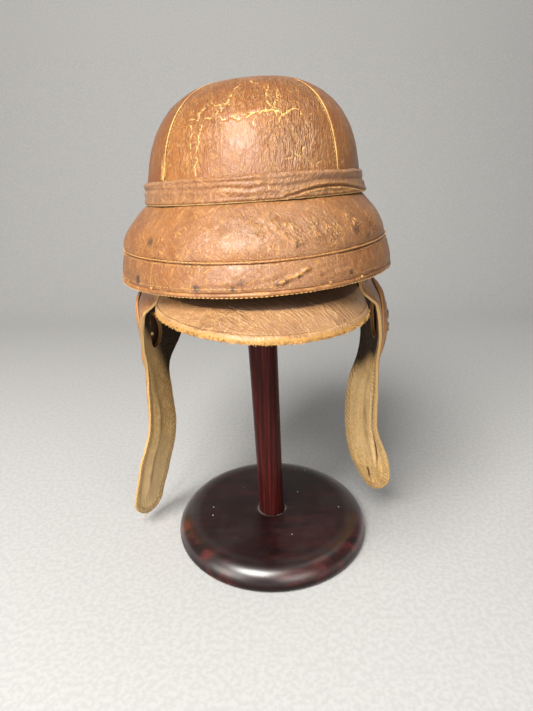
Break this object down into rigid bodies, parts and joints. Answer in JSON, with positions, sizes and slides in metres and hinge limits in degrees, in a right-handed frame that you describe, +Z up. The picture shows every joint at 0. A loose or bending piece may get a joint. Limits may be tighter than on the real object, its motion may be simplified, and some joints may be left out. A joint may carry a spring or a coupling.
{
  "type": "leather flying helmet on a wooden stand",
  "caption": "Early padded leather crash helmet with a stuffed bumper roll, a half-moon peak and hanging ear flaps, resting on a turned wooden display stand.",
  "frame": {"origin": "centre of the underside of the stand's base, on the table", "axes": "+Z up, the front of the helmet and its peak towards -Y, the wearer's left towards +X"},
  "size_m": [0.2734, 0.3135, 0.4458],
  "materials": {
    "crown_leather": "worn satin, orange-brown, with fine cracks",
    "bumper_leather": "worn satin, brown, scuffed",
    "welt_leather": "pale worn edge",
    "flap_leather": "satin, brown",
    "suede": "matt tan suede",
    "padding": "matt dark cloth over padding",
    "eyelet_brass": "dull, aged",
    "wood": "satin polish, dark red-brown"
  },
  "bodies": {
    "root": {"pad_front": "padding", "pad_left": "padding", "pad_back": "padding", "pad_right": "padding", "crown_panel_front": "crown_leather", "crown_panel_left": "crown_leather", "crown_panel_back": "crown_leather", "crown_panel_right": "crown_leather", "crown_band": "bumper_leather", "bumper_roll": "bumper_leather", "bumper_skirt": "bumper_leather", "roll_welt": "welt_leather", "rim_welt": "welt_leather", "peak": "bumper_leather", "ear_flap_left": "flap_leather", "ear_flap_right": "flap_leather", "flap_lining_left": "suede", "flap_lining_right": "suede", "ear_cover_left": "flap_leather", "ear_cover_right": "flap_leather", "stand_base": "wood", "stand_post": "wood", "stand_head": "wood", "eyelet_left_1": "eyelet_brass", "eyelet_left_2": "eyelet_brass", "eyelet_left_3": "eyelet_brass", "eyelet_left_4": "eyelet_brass", "eyelet_left_5": "eyelet_brass", "eyelet_left_6": "eyelet_brass", "eyelet_right_1": "eyelet_brass", "eyelet_right_2": "eyelet_brass", "eyelet_right_3": "eyelet_brass", "eyelet_right_4": "eyelet_brass", "eyelet_right_5": "eyelet_brass", "eyelet_right_6": "eyelet_brass"}
  },
  "joints": []
}
